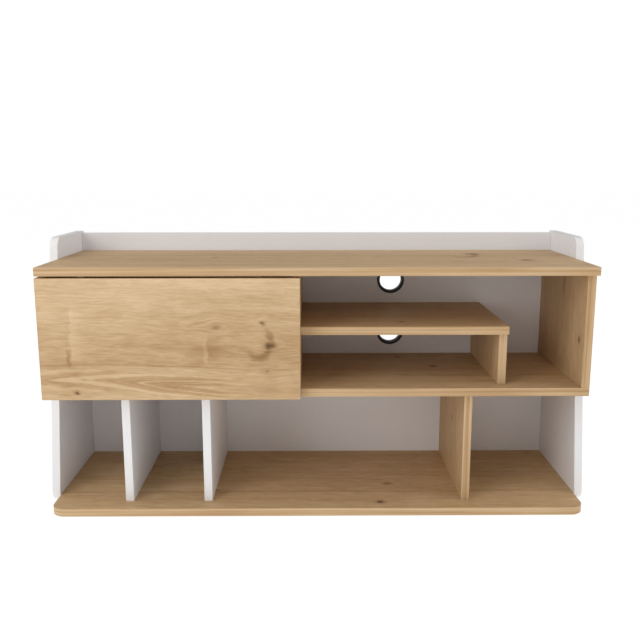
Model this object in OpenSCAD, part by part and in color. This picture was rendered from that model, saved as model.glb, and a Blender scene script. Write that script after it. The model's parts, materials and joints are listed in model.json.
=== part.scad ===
// Low TV stand: an oak-look carcass between two white slanted side panels,
// with a top-hung lift-up door, open shelves and a row of open bays below.
// X runs left to right, Y from front to back, Z up. The origin is on the
// floor, below the middle of the stand.

/* [Overall] */
// Width over the white side panels
overall_width = 1200; // [1100:10:1400]
// Depth from the front of the door to the back of the back panel
overall_depth = 370; // [340:5:420]
// Thickness of every board
board = 18; // [18:1:20]
// Clear height of the open bays above the bottom board
bay_height = 245; // [220:5:320]
// Clear height inside the box under the top panel
box_height = 245; // [235:5:300]
// Height of the glides under the bottom board
glide_height = 3; // [2:1:6]

/* [White side panels and back] */
// Depth of a side panel at the floor
side_foot_depth = 300; // [280:5:330]
// Depth of a side panel at its top edge
side_top_depth = 204; // [180:1:260]
// Radius of the two front corners of a side panel
side_corner_radius = 25; // [10:1:30]
// How far the side panels stand above the top panel
wing_rise = 47; // [35:1:70]
// How far the back panel stands above the top panel
upstand_rise = 42.5; // [30:0.5:60]

/* [Bottom board and bays] */
// Radius of the two front corners of the bottom board
bottom_corner_radius = 30; // [10:1:40]
// Clear width of each of the two narrow bays on the left
narrow_bay = 156; // [140:1:200]
// Clear width of the wide bay in the middle
wide_bay = 552; // [440:1:560]
// How far the bay dividers and the shelf stand back from the front
divider_setback = 40; // [30:1:60]

/* [Box and shelf] */
// Clear width of the cupboard behind the door
cupboard_width = 509; // [480:1:520]
// Length of the raised shelf
shelf_length = 446; // [380:1:460]
// Clear height above the raised shelf
shelf_clear_above = 114; // [90:1:125]
// How far the shelf support stands back from the front
support_setback = 54; // [45:1:80]

/* [Door] */
// Gap between the door and the top panel
door_top_gap = 4; // [4:0.5:6]
// Gap between the back of the door and the front edges of the box
door_back_gap = 3.5; // [3.5:0.5:5]
// Largest opening angle of the door
door_open_angle = 90; // [60:1:90]
// Distance from the door's ends to the middle of each hinge
hinge_inset = 90; // [70:5:140]

/* [Cable outlets] */
// Diameter of the cable holes in the back panel
cable_hole = 60; // [50:1:80]
// Place of the cable outlets to the right of the middle
cable_outlet_x = 184; // [120:1:300]

/* [Hidden] */
$fn = 64;

// Levels and planes of the carcass
in_half = overall_width / 2 - board;
front_y = -overall_depth / 2;
rear_y = overall_depth / 2;
back_face_y = rear_y - board;
bottom_z = glide_height;
bay_floor_z = bottom_z + board;
box_under_z = bay_floor_z + bay_height;
box_floor_z = box_under_z + board;
top_under_z = box_floor_z + box_height;
top_z = top_under_z + board;
wing_top_z = top_z + wing_rise;
upstand_top_z = top_z + upstand_rise;
shelf_top_z = top_under_z - shelf_clear_above;
shelf_under_z = shelf_top_z - board;

// Door and box fronts
door_left_x = -in_half;
door_right_x = door_left_x + 2 * board + cupboard_width;
door_top_z = top_under_z - door_top_gap;
door_back_y = front_y + board;
box_front_y = door_back_y + door_back_gap;
bay_front_y = front_y + divider_setback;
support_front_y = front_y + support_setback;
box_divider_x = door_right_x - board;
shelf_left_x = door_right_x;
shelf_right_x = shelf_left_x + shelf_length;
support_x = shelf_right_x - board;
left_divider_x = -in_half + narrow_bay;
right_divider_x = left_divider_x + board + narrow_bay;
oak_divider_x = right_divider_x + board + wide_bay;

// Radial gap between a fastener and its hole
fit = 0.05;

// Long connecting screws, dowels and cam fittings
screw_r = 3.5;
screw_head_r = 5;
screw_head_h = 3.2;
screw_length = 50;
dowel_r = 4;
dowel_length = 30;
dowel_in_board = 10;
cam_r = 7.5;
cam_depth = 12.5;
cam_from_end = 34;
cam_cover_r = 9;
cam_cover_h = 1;
bolt_thread_r = 3;
bolt_in_side = 11;
bolt_shank_r = 2.5;
bolt_head_r = 3.4;
bolt_hole_r = 4;
joint_front_y = front_y + 85;
joint_rear_y = back_face_y - 47;
cam_rear_y = back_face_y - 22;
cam_from_side_front = 30;
back_screw_x = [-450, -150, 150, 450];

// Hinge: one pin inside a cup, and a hooked arm that swings round the door's edge
pivot_in = 8;
pivot_y = front_y + pivot_in;
pivot_z = door_top_z - pivot_in;
cup_r = 17.5;
cup_depth = 13.2;
cup_edge_gap = 3;
cup_wall = 1.2;
cup_floor = 0.6;
cup_flange = 1;
cup_z = door_top_z - cup_edge_gap - cup_r;
cup_ear_r = 6;
cup_ear_x = 24;
cup_ear_drop = 9.5;
pin_r = 1.2;
pin_length = 21.6;
pin_boss_x = 7.5;
pin_boss_half = 2.6;
knuckle_r = 2.4;
arm_width = 11;
hook_inner_r = 13.3;
hook_metal = 3;
arm_foot_width = 24;
arm_foot_length = 46;
arm_foot_metal = 2.5;
small_head_r = 3.5;
small_head_h = 1.6;
small_screw_r = 1.8;
small_screw_length = 13;

// Stay: a slotted arm pivots on the door and slides over a stud in the cupboard.
// The stud and the arm's pivot lie on one circle about the hinge pin, so the arm
// turns by exactly half the door's angle.
stay_pivot_y = door_back_y + 14;
stay_pivot_z = pivot_z - 100;
stay_circle_r = norm([stay_pivot_y - pivot_y, stay_pivot_z - pivot_z]);
stay_pivot_angle = atan2(stay_pivot_y - pivot_y, pivot_z - stay_pivot_z);
stay_lead = 15;
stud_angle = stay_pivot_angle + 2 * stay_lead;
stud_y = pivot_y + stay_circle_r * sin(stud_angle);
stud_z = pivot_z - stay_circle_r * cos(stud_angle);
stay_reach_closed = 2 * stay_circle_r * sin(stay_lead);
stay_reach_open = 2 * stay_circle_r * sin(stay_lead + door_open_angle / 2);
stay_slope = atan2(stud_z - stay_pivot_z, stud_y - stay_pivot_y);
stay_metal = 2;
stay_half_width = 8;
stay_end_gap = 0.7;
stud_r = 3;
stud_gap = 0.3;
stud_thread = 12;
stay_from_side = 6;
stay_x = -in_half + board + stay_from_side;
stay_side_gap = 0.3;
bracket_width = 20;
bracket_height = 40;
bracket_metal = 2;
rivet_r = 2.5;
rivet_head_r = 4.5;
rivet_head_h = 1.2;
washer_r = 9;
washer_h = 1.2;
nut_r = 7;
nut_h = 5;

// Bumpers, cable outlets and glides
bumper_r = 4;
bumper_h = door_back_gap - 0.1;
outlet_flange_r = cable_hole / 2 + 3.8;
outlet_bore_r = cable_hole / 2 - 3;
outlet_flange_h = 2;
upper_outlet_z = (shelf_top_z + top_under_z) / 2;
lower_outlet_z = (box_floor_z + shelf_under_z) / 2;
glide_r = 11;
nail_r = 1.2;
nail_length = 12;
glide_x = [-540, 0, 540];
glide_y = [front_y + 35, rear_y - 70];

// Colours
OAK = [0.80, 0.67, 0.51];
WHITE = [0.93, 0.92, 0.91];
BLACK = [0.07, 0.07, 0.08];
NICKEL = [0.72, 0.72, 0.74];
ZINC = [0.62, 0.62, 0.64];
BEECH = [0.83, 0.70, 0.50];
NYLON = [0.90, 0.90, 0.88];

// ---- Helpers ----

// A board from its low and high corners
module slab(low, high) {
  translate(low) cube(high - low);
}

// A cylinder that starts at the origin and runs along the named direction
module rod(r, length, along) {
  rotate(along) cylinder(r = r, h = length);
}
UP = [0, 0, 0];
DOWN = [180, 0, 0];
RIGHT = [0, 90, 0];
LEFT = [0, -90, 0];
FORWARD = [90, 0, 0];
BACK = [-90, 0, 0];

// Turns a flat drawing in Y and Z into a plate between two X values
module side_plate(x_low, x_high) {
  translate([x_low, 0, 0]) rotate([90, 0, 90]) linear_extrude(height = x_high - x_low) children();
}

// A long connecting screw with its head at the origin, or its hole with a gap
module long_screw(along, gap = 0) {
  rotate(along) {
    cylinder(r = screw_head_r + gap, h = screw_head_h);
    cylinder(r = screw_r + gap, h = screw_length + 2 * gap);
  }
}

// A long screw with the hexagon socket in its head
module long_screw_solid(along) {
  difference() {
    long_screw(along);
    rotate(along) translate([0, 0, -1]) cylinder(r = 2.3, h = 3.4, $fn = 6);
  }
}

// A dowel that stands across the joint at the origin, or its hole with a gap
module dowel(gap = 0) {
  translate([0, 0, dowel_in_board - dowel_length - gap])
    cylinder(r = dowel_r + gap, h = dowel_length + 2 * gap);
}

// A small countersunk screw with its head's face at the origin, or its hole
module small_screw(along, gap = 0) {
  rotate(along) {
    cylinder(r = small_head_r + gap, h = small_head_h);
    cylinder(r = small_screw_r + gap, h = small_screw_length + 2 * gap);
  }
}

// ---- Places of the joints ----

function side_front_y(z) = rear_y - side_foot_depth
  + (side_foot_depth - side_top_depth) * (z - bottom_z) / (wing_top_z - bottom_z);
function middle(x) = x + board / 2;
joint_y = [joint_front_y, joint_rear_y];
bay_joint_x = [middle(left_divider_x), middle(right_divider_x), middle(oak_divider_x)];
box_upright_x = [-in_half + board / 2, middle(box_divider_x), in_half - board / 2];
box_screw_x = concat(box_upright_x, [middle(support_x)]);
cam_board_z = [bottom_z, box_under_z, top_under_z];
function cam_y(z) = [side_front_y(z) + cam_from_side_front, cam_rear_y];

// Children at every screw that rises from below into the bay dividers
module at_divider_screws() {
  for (x = bay_joint_x, y = joint_y) translate([x, y, bottom_z]) children();
}

// Children at every screw that rises from below into the box uprights
module at_box_screws() {
  for (x = box_screw_x, y = joint_y) translate([x, y, box_under_z]) children();
}

// Children at every dowel between the bay dividers and the box
module at_bay_dowels() {
  for (x = bay_joint_x, y = joint_y) translate([x, y, box_under_z]) children();
}

// Children at every dowel between the box uprights and the top panel
module at_top_dowels() {
  for (x = box_upright_x, y = joint_y) translate([x, y, top_under_z]) children();
}

// Children at both dowels between the shelf support and the shelf
module at_shelf_dowels() {
  for (y = joint_y) translate([middle(support_x), y, shelf_under_z]) children();
}

// Children at both screws that run through the box divider into the shelf
module at_shelf_screws() {
  for (y = joint_y) translate([box_divider_x, y, shelf_under_z + board / 2]) children();
}

// Children at every screw through the back panel
module at_back_screws() {
  for (x = back_screw_x, z = cam_board_z) translate([x, rear_y, z + board / 2]) children();
}

// Children at every cam fitting; the children are drawn for the right end
module at_cams() {
  for (side = [0, 1], z = cam_board_z, y = cam_y(z))
    mirror([1 - side, 0, 0]) translate([in_half, y, z]) children();
}

// ---- White boards ----

// Side view of a white side panel: slanted front edge with two round corners
module side_outline() {
  r = side_corner_radius;
  foot_y = rear_y - side_foot_depth;
  top_y = rear_y - side_top_depth;
  lean = atan2(top_y - foot_y, wing_top_z - bottom_z);
  // centres of the two corner arcs, which touch the slanted edge and the ends
  low_c = [foot_y + r * (1 + sin(lean)) / cos(lean), bottom_z + r];
  high_c = [top_y + r * (1 - sin(lean)) / cos(lean), wing_top_z - r];
  // unit vector square to the slanted edge, pointing forwards
  out = [-cos(lean), sin(lean)];
  polygon([
    [rear_y, bottom_z], [rear_y, wing_top_z], [high_c[0], wing_top_z],
    high_c + r * out, low_c + r * out, [low_c[0], bottom_z]
  ]);
  translate(low_c) circle(r = r, $fn = 96);
  translate(high_c) circle(r = r, $fn = 96);
}

// Right-hand side panel, with the holes for the cam bolts
module right_side() {
  difference() {
    side_plate(in_half, in_half + board) side_outline();
    at_cams() translate([-fit, 0, board / 2]) rod(bolt_thread_r + fit, bolt_in_side + 2 * fit, RIGHT);
  }
}

module right_side_panel() {
  color(WHITE) right_side();
}

module left_side_panel() {
  color(WHITE) mirror([1, 0, 0]) right_side();
}

module back_panel() {
  color(WHITE) difference() {
    slab([-in_half, back_face_y, bottom_z], [in_half, rear_y, upstand_top_z]);
    for (z = [upper_outlet_z, lower_outlet_z])
      translate([cable_outlet_x, back_face_y - 1, z]) rod(cable_hole / 2, board + 2, BACK);
    at_back_screws() long_screw(FORWARD, fit);
  }
}

// A bay divider with its left face at the given place
module bay_divider(x) {
  difference() {
    slab([x, bay_front_y, bay_floor_z], [x + board, back_face_y, box_under_z]);
    at_divider_screws() long_screw(UP, fit);
    at_bay_dowels() dowel(fit);
  }
}

module left_white_divider() {
  color(WHITE) bay_divider(left_divider_x);
}

module right_white_divider() {
  color(WHITE) bay_divider(right_divider_x);
}

// ---- Oak-look boards ----

module oak_divider() {
  color(OAK) bay_divider(oak_divider_x);
}

module top_panel() {
  color(OAK) difference() {
    slab([-in_half, front_y, top_under_z], [in_half, back_face_y, top_z]);
    at_top_dowels() dowel(fit);
    at_cams() cam_bores();
    at_back_screws() long_screw(FORWARD, fit);
    at_hinges() at_arm_screws() small_screw(UP, fit);
  }
}

// Plan of the bottom board, with its two round front corners
module bottom_outline() {
  r = bottom_corner_radius;
  translate([-in_half, front_y + r]) square([2 * in_half, back_face_y - front_y - r]);
  translate([-in_half + r, front_y]) square([2 * (in_half - r), back_face_y - front_y]);
  for (side = [-1, 1])
    translate([side * (in_half - r), front_y + r]) circle(r = r, $fn = 96);
}

module bottom_board() {
  color(OAK) difference() {
    translate([0, 0, bottom_z]) linear_extrude(height = board) bottom_outline();
    at_divider_screws() long_screw(UP, fit);
    at_cams() cam_bores();
    at_back_screws() long_screw(FORWARD, fit);
    at_glides() rod(nail_r + fit, nail_length + fit, UP);
  }
}

module box_bottom() {
  color(OAK) difference() {
    slab([-in_half, box_front_y, box_under_z], [in_half, back_face_y, box_floor_z]);
    at_box_screws() long_screw(UP, fit);
    at_bay_dowels() dowel(fit);
    at_cams() cam_bores();
    at_back_screws() long_screw(FORWARD, fit);
  }
}

// An upright of the box with its left face at the given place
module box_upright(x) {
  difference() {
    slab([x, box_front_y, box_floor_z], [x + board, back_face_y, top_under_z]);
    at_box_screws() long_screw(UP, fit);
    at_top_dowels() dowel(fit);
  }
}

module box_left_side() {
  color(OAK) difference() {
    box_upright(-in_half);
    translate([-in_half + board, stud_y, stud_z]) rod(stud_r - 1 + fit, stud_thread + fit, LEFT);
  }
}

module box_right_side() {
  color(OAK) box_upright(in_half - board);
}

module box_divider() {
  color(OAK) difference() {
    box_upright(box_divider_x);
    at_shelf_screws() long_screw(RIGHT, fit);
  }
}

module raised_shelf() {
  color(OAK) difference() {
    slab([shelf_left_x, bay_front_y, shelf_under_z], [shelf_right_x, back_face_y, shelf_top_z]);
    at_shelf_screws() long_screw(RIGHT, fit);
    at_shelf_dowels() dowel(fit);
  }
}

module shelf_support() {
  color(OAK) difference() {
    slab([support_x, support_front_y, box_floor_z], [shelf_right_x, back_face_y, shelf_under_z]);
    at_box_screws() long_screw(UP, fit);
    at_shelf_dowels() dowel(fit);
  }
}

module door() {
  color(OAK) difference() {
    slab([door_left_x, front_y, box_under_z], [door_right_x, door_back_y, door_top_z]);
    at_hinges() {
      translate([0, door_back_y + 1, cup_z]) rod(cup_r + fit, cup_depth + 1 + fit, FORWARD);
      at_cup_screws() small_screw(FORWARD, fit);
    }
    at_bracket_screws() small_screw(FORWARD, fit);
  }
}

// ---- Hinges ----

// Children at both hinges, drawn about the plane X = 0
module at_hinges() {
  for (x = [door_left_x + hinge_inset, door_right_x - hinge_inset])
    translate([x, 0, 0]) children();
}

module at_left_hinge() {
  translate([door_left_x + hinge_inset, 0, 0]) children();
}

module at_right_hinge() {
  translate([door_right_x - hinge_inset, 0, 0]) children();
}

module at_cup_screws() {
  for (side = [-1, 1])
    translate([side * cup_ear_x, door_back_y + cup_flange + small_head_h, cup_z - cup_ear_drop])
      children();
}

module at_arm_screws() {
  for (step = [0.42, 0.82])
    translate([0, pivot_y + hook_inner_r + step * arm_foot_length,
      top_under_z - arm_foot_metal - small_head_h])
      children();
}

// The cup's outside as a solid disc
module cup_disc() {
  translate([0, door_back_y + cup_flange, cup_z]) rod(cup_r, cup_depth + cup_flange, FORWARD);
}

// Boss on each side of the cup, which holds one end of the pin
module cup_bosses() {
  low_y = pivot_y - pin_boss_half;
  intersection() {
    cup_disc();
    for (side = [0, 1])
      mirror([side, 0, 0]) slab([pin_boss_x, low_y, pivot_z - pin_boss_half],
        [cup_r, pivot_y + pin_boss_half, pivot_z + pin_boss_half]);
  }
}

// Zinc cup sunk into the back of the door, with two screw ears; its flange is
// cut off just above the pin, where the hook passes
module hinge_cup() {
  top_cut = pivot_z + 6;
  color(ZINC) difference() {
    union() {
      difference() {
        union() {
          cup_disc();
          intersection() {
            translate([0, door_back_y + cup_flange, 0]) rotate([90, 0, 0])
              linear_extrude(height = cup_flange) cup_flange_outline();
            slab([-cup_ear_x * 2, door_back_y - 1, cup_z - 40],
              [cup_ear_x * 2, door_back_y + 5, top_cut]);
          }
        }
        translate([0, door_back_y + cup_flange + 1, cup_z])
          rod(cup_r - cup_wall, cup_depth + cup_flange + 1 - cup_floor, FORWARD);
      }
      cup_bosses();
    }
    translate([-pin_length / 2 - fit, pivot_y, pivot_z]) rod(pin_r + fit, pin_length + 2 * fit, RIGHT);
    at_cup_screws() small_screw(FORWARD, fit);
  }
}

// Flat outline of the cup's flange: a disc over a bar with round ends
module cup_flange_outline() {
  translate([0, cup_z]) circle(r = cup_r + 2);
  translate([-cup_ear_x, cup_z - cup_ear_drop - cup_ear_r]) square([2 * cup_ear_x, 2 * cup_ear_r]);
  for (side = [-1, 1])
    translate([side * cup_ear_x, cup_z - cup_ear_drop]) circle(r = cup_ear_r);
}

module hinge_pin() {
  color(NICKEL) translate([-pin_length / 2, pivot_y, pivot_z]) rod(pin_r, pin_length, RIGHT);
}

// Side view of the hooked arm, with the pin at the drawing's origin
module hook_outline() {
  outer = hook_inner_r + hook_metal;
  circle(r = knuckle_r);
  translate([-hook_metal / 2, -outer + 0.2]) square([hook_metal, outer - 0.2]);
  intersection() {
    difference() {
      circle(r = outer, $fn = 96);
      circle(r = hook_inner_r, $fn = 96);
    }
    translate([0, -outer]) square([outer, outer]);
  }
  translate([hook_inner_r, 0]) square([hook_metal, top_under_z - pivot_z]);
}

// Steel arm: round the pin, out of the cup, round the door's edge and up to its foot
module hinge_arm() {
  foot_low_y = pivot_y + hook_inner_r;
  color(NICKEL) difference() {
    union() {
      side_plate(-arm_width / 2, arm_width / 2) translate([pivot_y, pivot_z]) hook_outline();
      slab([-arm_foot_width / 2, foot_low_y, top_under_z - arm_foot_metal],
        [arm_foot_width / 2, foot_low_y + arm_foot_length, top_under_z]);
    }
    translate([-arm_width, pivot_y, pivot_z]) rod(pin_r + fit, 2 * arm_width, RIGHT);
    at_arm_screws() small_screw(UP, fit);
  }
}

module left_hinge_cup() {
  at_left_hinge() hinge_cup();
}

module right_hinge_cup() {
  at_right_hinge() hinge_cup();
}

module left_hinge_pin() {
  at_left_hinge() hinge_pin();
}

module right_hinge_pin() {
  at_right_hinge() hinge_pin();
}

module left_hinge_arm() {
  at_left_hinge() hinge_arm();
}

module right_hinge_arm() {
  at_right_hinge() hinge_arm();
}

module hinge_arm_screws() {
  color(NICKEL) at_hinges() at_arm_screws() small_screw(UP);
}

module hinge_cup_screws() {
  color(NICKEL) at_hinges() at_cup_screws() small_screw(FORWARD);
}

// ---- Stay ----

// Side view of the slotted arm, lying along X from its pivot
module stay_outline() {
  reach = stay_reach_open + stud_r + 5;
  slot_half = stud_r + stud_gap;
  slot_start = stay_reach_closed - stay_end_gap;
  slot_end = stay_reach_open + stay_end_gap;
  difference() {
    union() {
      circle(r = stay_half_width);
      translate([0, -stay_half_width]) square([reach, 2 * stay_half_width]);
      translate([reach, 0]) circle(r = stay_half_width);
    }
    circle(r = rivet_r + fit);
    translate([slot_start, -slot_half]) square([slot_end - slot_start, 2 * slot_half]);
    for (x = [slot_start, slot_end])
      translate([x, 0]) circle(r = slot_half);
  }
}

module stay_arm() {
  color(NICKEL) side_plate(stay_x, stay_x + stay_metal)
    translate([stay_pivot_y, stay_pivot_z]) rotate(stay_slope) stay_outline();
}

// Angle bracket on the back of the door that carries the arm's rivet
module stay_bracket() {
  ear_x = stay_x + stay_metal + stay_side_gap;
  low_z = stay_pivot_z - bracket_height / 2;
  color(NICKEL) difference() {
    union() {
      slab([ear_x, door_back_y, low_z],
        [ear_x + bracket_width, door_back_y + bracket_metal, low_z + bracket_height]);
      side_plate(ear_x, ear_x + bracket_metal) {
        translate([door_back_y, stay_pivot_z - stay_half_width])
          square([stay_pivot_y - door_back_y, 2 * stay_half_width]);
        translate([stay_pivot_y, stay_pivot_z]) circle(r = stay_half_width);
      }
    }
    translate([stay_x - 5, stay_pivot_y, stay_pivot_z]) rod(rivet_r + fit, 20, RIGHT);
    at_bracket_screws() small_screw(FORWARD, fit);
  }
}

module at_bracket_screws() {
  for (side = [-1, 1])
    translate([stay_x + stay_metal + bracket_width / 2 + 2,
      door_back_y + bracket_metal + small_head_h,
      stay_pivot_z + side * (bracket_height / 2 - 8)])
      children();
}

module stay_bracket_screws() {
  color(NICKEL) at_bracket_screws() small_screw(FORWARD);
}

module stay_rivet() {
  shank = 2 * stay_side_gap + stay_metal + bracket_metal;
  color(NICKEL) translate([stay_x - stay_side_gap, stay_pivot_y, stay_pivot_z]) {
    rod(rivet_r, shank, RIGHT);
    rod(rivet_head_r, rivet_head_h, LEFT);
    translate([shank, 0, 0]) rod(rivet_head_r, rivet_head_h, RIGHT);
  }
}

// Threaded stud in the box side, on which the slotted arm slides
module stay_stud() {
  color(NICKEL) translate([-in_half + board, stud_y, stud_z]) {
    rod(stud_r - 1, stud_thread, LEFT);
    rod(stud_r + 3, stay_from_side - stay_side_gap - washer_h, RIGHT);
    rod(stud_r, stay_from_side + stay_metal + stay_side_gap + washer_h + nut_h + 1, RIGHT);
  }
}

// Friction washer on each face of the arm
module stay_washers() {
  color(NYLON) for (x = [stay_x - stay_side_gap - washer_h, stay_x + stay_metal + stay_side_gap])
    translate([x, stud_y, stud_z]) difference() {
      rod(washer_r, washer_h, RIGHT);
      translate([-1, 0, 0]) rod(stud_r + fit, washer_h + 2, RIGHT);
    }
}

module stay_nut() {
  color(NICKEL) translate([stay_x + stay_metal + stay_side_gap + washer_h, stud_y, stud_z])
    difference() {
      rotate(RIGHT) cylinder(r = nut_r, h = nut_h, $fn = 6);
      translate([-1, 0, 0]) rod(stud_r + fit, nut_h + 2, RIGHT);
    }
}

// ---- Small parts ----

// Soft pads on the back of the door, which meet the box's front edges
module door_bumpers() {
  color(NYLON) for (x = [-in_half + board / 2, middle(box_divider_x)], z = [box_floor_z + 8, pivot_z - 60])
    translate([x, door_back_y, z]) rod(bumper_r, bumper_h, BACK);
}

// Ring with a rounded lip that lines a cable hole
module cable_outlet(z) {
  sleeve = board + outlet_flange_h;
  lip = outlet_flange_h / 2;
  color(BLACK) translate([cable_outlet_x, rear_y, z]) rotate(FORWARD) rotate_extrude() {
    translate([outlet_bore_r, 0]) square([cable_hole / 2 - fit - outlet_bore_r, sleeve]);
    translate([outlet_bore_r, board]) square([outlet_flange_r - lip - outlet_bore_r, outlet_flange_h]);
    translate([outlet_flange_r - lip, board + lip]) circle(r = lip, $fn = 32);
  }
}

module upper_cable_outlet() {
  cable_outlet(upper_outlet_z);
}

module lower_cable_outlet() {
  cable_outlet(lower_outlet_z);
}

module at_glides() {
  for (x = glide_x, y = glide_y) translate([x, y, bottom_z]) children();
}

// Plastic discs with a nail, under the bottom board
module glides() {
  color(BLACK) at_glides() {
    rod(nail_r, nail_length, UP);
    rotate(DOWN) cylinder(r1 = glide_r, r2 = glide_r - 1, h = glide_height);
  }
}

module back_panel_screws() {
  color(NICKEL) at_back_screws() long_screw_solid(FORWARD);
}

module divider_screws() {
  color(NICKEL) at_divider_screws() long_screw_solid(UP);
}

module box_screws() {
  color(NICKEL) at_box_screws() long_screw_solid(UP);
}

module shelf_screws() {
  color(NICKEL) at_shelf_screws() long_screw_solid(RIGHT);
}

// Holes for one cam fitting at the right end of a board
module cam_bores() {
  translate([-cam_from_end, 0, -1]) rod(cam_r + fit, cam_depth + 1 + fit, UP);
  translate([1, 0, board / 2]) rod(bolt_hole_r, cam_from_end, LEFT);
}

module cam_housings() {
  color(ZINC) at_cams() translate([-cam_from_end, 0, 0]) difference() {
    rod(cam_r, cam_depth, UP);
    translate([0, 0, board / 2]) rod(bolt_hole_r - 0.2, cam_r + 1, RIGHT);
    translate([0, 0, board / 2]) sphere(r = bolt_hole_r - 0.2);
    translate([-4, -0.7, -1]) cube([8, 1.4, 2.2]);
  }
}

module cam_bolts() {
  color(NICKEL) at_cams() translate([0, 0, board / 2]) {
    rod(bolt_thread_r, bolt_in_side, RIGHT);
    rod(bolt_shank_r, cam_from_end - 2, LEFT);
    translate([-cam_from_end + 2, 0, 0]) rod(bolt_head_r, 2, LEFT);
  }
}

module cam_covers() {
  color(OAK) at_cams() translate([-cam_from_end, 0, 0]) rod(cam_cover_r, cam_cover_h, DOWN);
}

module dowels() {
  color(BEECH) {
    at_bay_dowels() dowel();
    at_top_dowels() dowel();
    at_shelf_dowels() dowel();
  }
}

left_side_panel();
right_side_panel();
back_panel();
top_panel();
bottom_board();
box_bottom();
box_left_side();
box_right_side();
box_divider();
raised_shelf();
shelf_support();
left_white_divider();
right_white_divider();
oak_divider();
door();
left_hinge_cup();
right_hinge_cup();
left_hinge_pin();
right_hinge_pin();
left_hinge_arm();
right_hinge_arm();
hinge_arm_screws();
hinge_cup_screws();
stay_arm();
stay_bracket();
stay_bracket_screws();
stay_rivet();
stay_stud();
stay_washers();
stay_nut();
door_bumpers();
upper_cable_outlet();
lower_cable_outlet();
glides();
back_panel_screws();
divider_screws();
box_screws();
shelf_screws();
cam_housings();
cam_bolts();
cam_covers();
dowels();
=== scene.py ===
"""Looks of the TV stand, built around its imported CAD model. Metres, Z up."""

import json
import math

import bmesh
import bpy
from mathutils import Matrix, Vector


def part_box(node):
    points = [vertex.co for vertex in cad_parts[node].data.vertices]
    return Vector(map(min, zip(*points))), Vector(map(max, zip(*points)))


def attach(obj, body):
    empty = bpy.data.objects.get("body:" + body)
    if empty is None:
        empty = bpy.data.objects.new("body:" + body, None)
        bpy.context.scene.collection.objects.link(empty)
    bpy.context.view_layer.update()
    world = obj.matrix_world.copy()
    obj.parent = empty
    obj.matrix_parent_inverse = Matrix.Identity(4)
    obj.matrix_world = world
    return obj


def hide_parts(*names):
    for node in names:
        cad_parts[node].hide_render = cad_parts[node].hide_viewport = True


MM = 0.001
# Corners closer than this are one corner
WELD = 0.001 * MM

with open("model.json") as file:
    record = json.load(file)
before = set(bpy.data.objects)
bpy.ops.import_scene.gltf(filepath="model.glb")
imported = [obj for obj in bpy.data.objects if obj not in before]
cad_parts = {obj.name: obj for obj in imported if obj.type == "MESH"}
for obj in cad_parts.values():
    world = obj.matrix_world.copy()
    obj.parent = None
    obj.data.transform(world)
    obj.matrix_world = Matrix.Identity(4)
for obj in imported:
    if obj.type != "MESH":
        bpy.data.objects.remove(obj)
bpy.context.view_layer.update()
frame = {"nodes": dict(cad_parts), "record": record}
nodes = frame["nodes"]
bodies = frame["record"]["behaviour"]["bodies"]
body_of_node = {node: body for body, members in bodies.items() for node in members}
slot_of_node = {part["node"]: part["material_slot"] for part in frame["record"]["subparts"]}

ALONG_X, ALONG_Y, ALONG_Z = 0, 1, 2
FORWARD = (0, -1, 0)
BACKWARD = (0, 1, 0)
DOWN = (0, 0, -1)


def srgb(red, green, blue):
    """The linear colour of an 8-bit sRGB colour."""
    linear = []
    for value in (red, green, blue):
        share = value / 255
        linear.append(share / 12.92 if share <= 0.04045 else ((share + 0.055) / 1.055) ** 2.4)
    return (*linear, 1.0)


# ---- Boards: which way each one's grain runs, and which way it is thick ----


class Board:
    """One board: its grain axis, its thickness axis, and the strip of decor sheet it is cut from."""

    def __init__(self, node, grain, thick, strip):
        self.node = node
        self.grain = grain
        self.thick = thick
        self.across = 3 - grain - thick
        self.strip = strip
        self.low, self.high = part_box(node)

    def sheet_point(self, along, across):
        """Place on the decor sheet of a point given as shares of the board's length and width."""
        u = along * (self.high[self.grain] - self.low[self.grain])
        v = across * (self.high[self.across] - self.low[self.across])
        return u, v + self.strip


# Distance in metres between the strips of decor sheet that the boards are cut from
STRIP = 1.0
# Strip of the first white board, clear of the oak boards' strips
FIRST_WHITE_STRIP = 21
OAK_BOARDS = {
    name: Board(name, grain, thick, STRIP * (index + 1))
    for index, (name, grain, thick) in enumerate(
        [
            ("door", ALONG_X, ALONG_Y),
            ("top_panel", ALONG_X, ALONG_Z),
            ("bottom_board", ALONG_X, ALONG_Z),
            ("box_bottom", ALONG_X, ALONG_Z),
            ("raised_shelf", ALONG_X, ALONG_Z),
            ("box_left_side", ALONG_Z, ALONG_X),
            ("box_right_side", ALONG_Z, ALONG_X),
            ("box_divider", ALONG_Z, ALONG_X),
            ("shelf_support", ALONG_Z, ALONG_X),
            ("oak_divider", ALONG_Z, ALONG_X),
        ]
    )
}
WHITE_BOARDS = {
    name: Board(name, ALONG_X if thick == ALONG_Y else ALONG_Z, thick, STRIP * (index + FIRST_WHITE_STRIP))
    for index, (name, thick) in enumerate(
        [
            ("left_side_panel", ALONG_X),
            ("right_side_panel", ALONG_X),
            ("left_white_divider", ALONG_X),
            ("right_white_divider", ALONG_X),
            ("back_panel", ALONG_Y),
        ]
    )
}

# ---- Shader building ----

# Name of the corner attribute that holds a board's own coordinates
GRAIN = "grain"


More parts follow.
